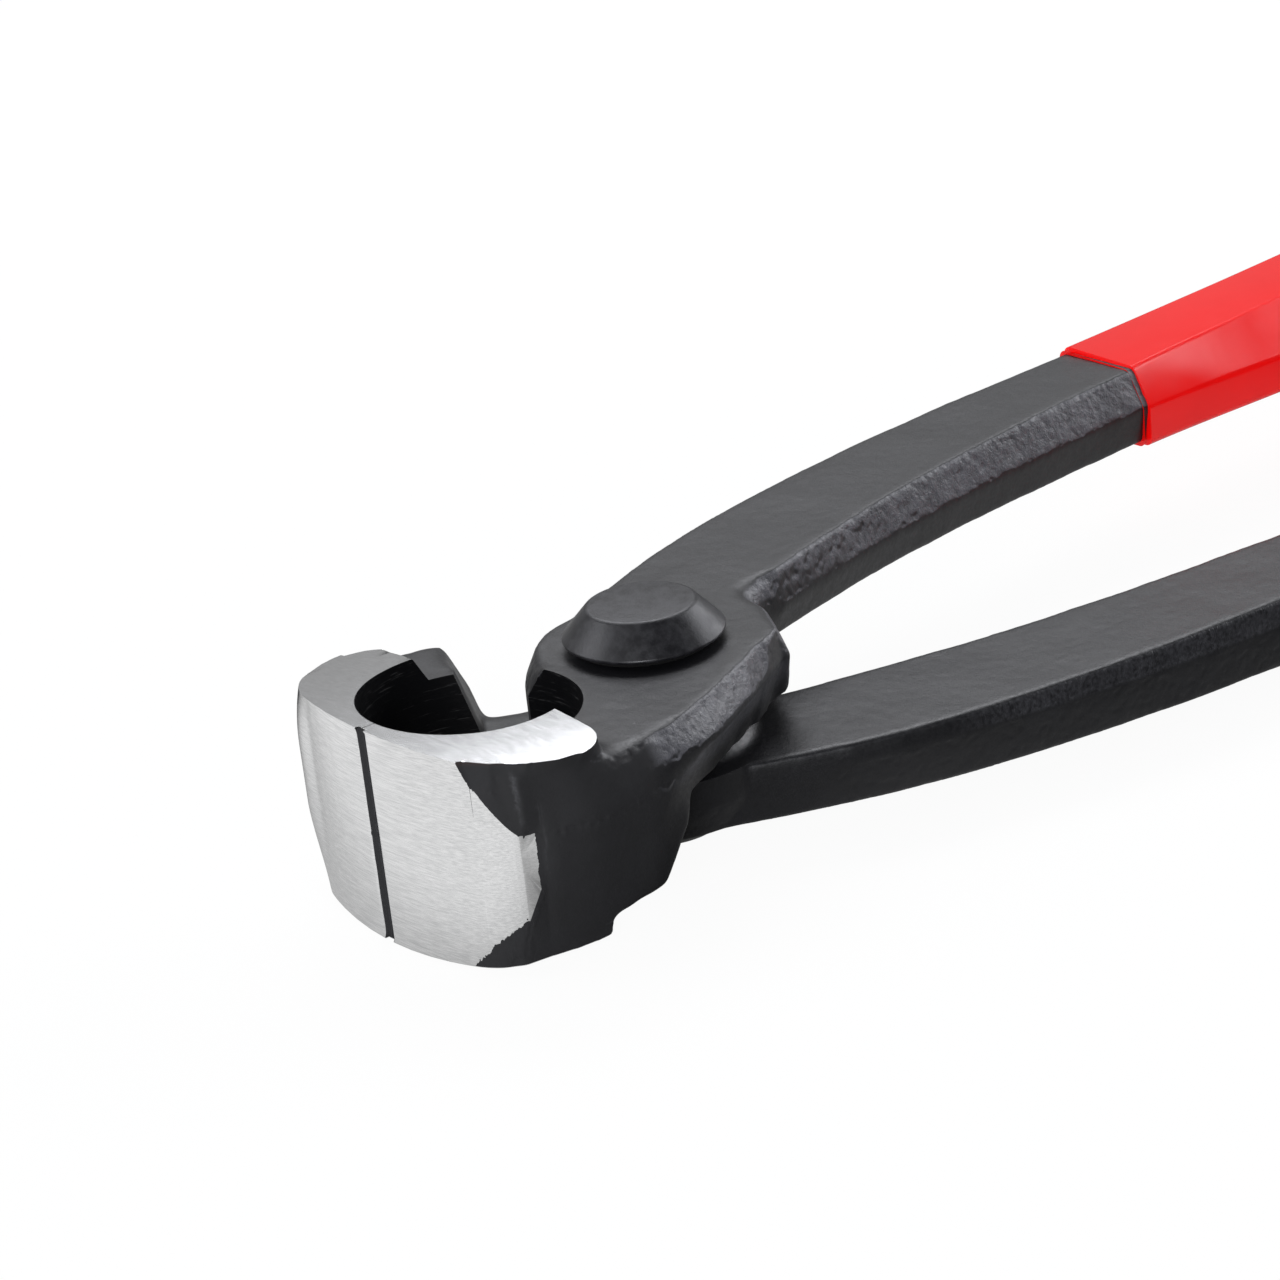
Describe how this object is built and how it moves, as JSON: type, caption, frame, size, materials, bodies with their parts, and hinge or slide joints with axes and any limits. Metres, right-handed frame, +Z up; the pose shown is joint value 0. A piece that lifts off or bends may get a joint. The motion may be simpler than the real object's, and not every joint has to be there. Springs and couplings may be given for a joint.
{
  "type": "ear clamp pliers",
  "caption": "Pincer pliers with a round ear room between blunt ground jaws, a riveted lap joint, bowed forged handles and red grip sleeves, for closing the ears of hose clamps.",
  "frame": {"origin": "centre of the flat on the lower rivet head, on the pivot axis", "axes": "+X from the pivot to the handle ends, +Y to the upper lever's handle, +Z up along the pivot axis"},
  "size_m": [0.22, 0.0682, 0.0236],
  "materials": {
    "forged_steel": "black oxide forging skin, satin, with bare ground steel on the jaws' front faces and tops",
    "rivet_steel": "black oxide, smooth satin",
    "sleeve_red": "glossy dip-moulded plastic"
  },
  "bodies": {
    "upper_lever": {"upper_lever": "forged_steel", "rivet": "rivet_steel", "upper_grip_sleeve": "sleeve_red"},
    "lower_lever": {"lower_lever": "forged_steel", "lower_grip_sleeve": "sleeve_red"}
  },
  "joints": [
    {"name": "pivot", "type": "hinge", "parent": "upper_lever", "child": "lower_lever", "pos_m": [0, 0, 0.01115], "axis": [0, 0, 1], "range_deg": [-30, 0]}
  ]
}
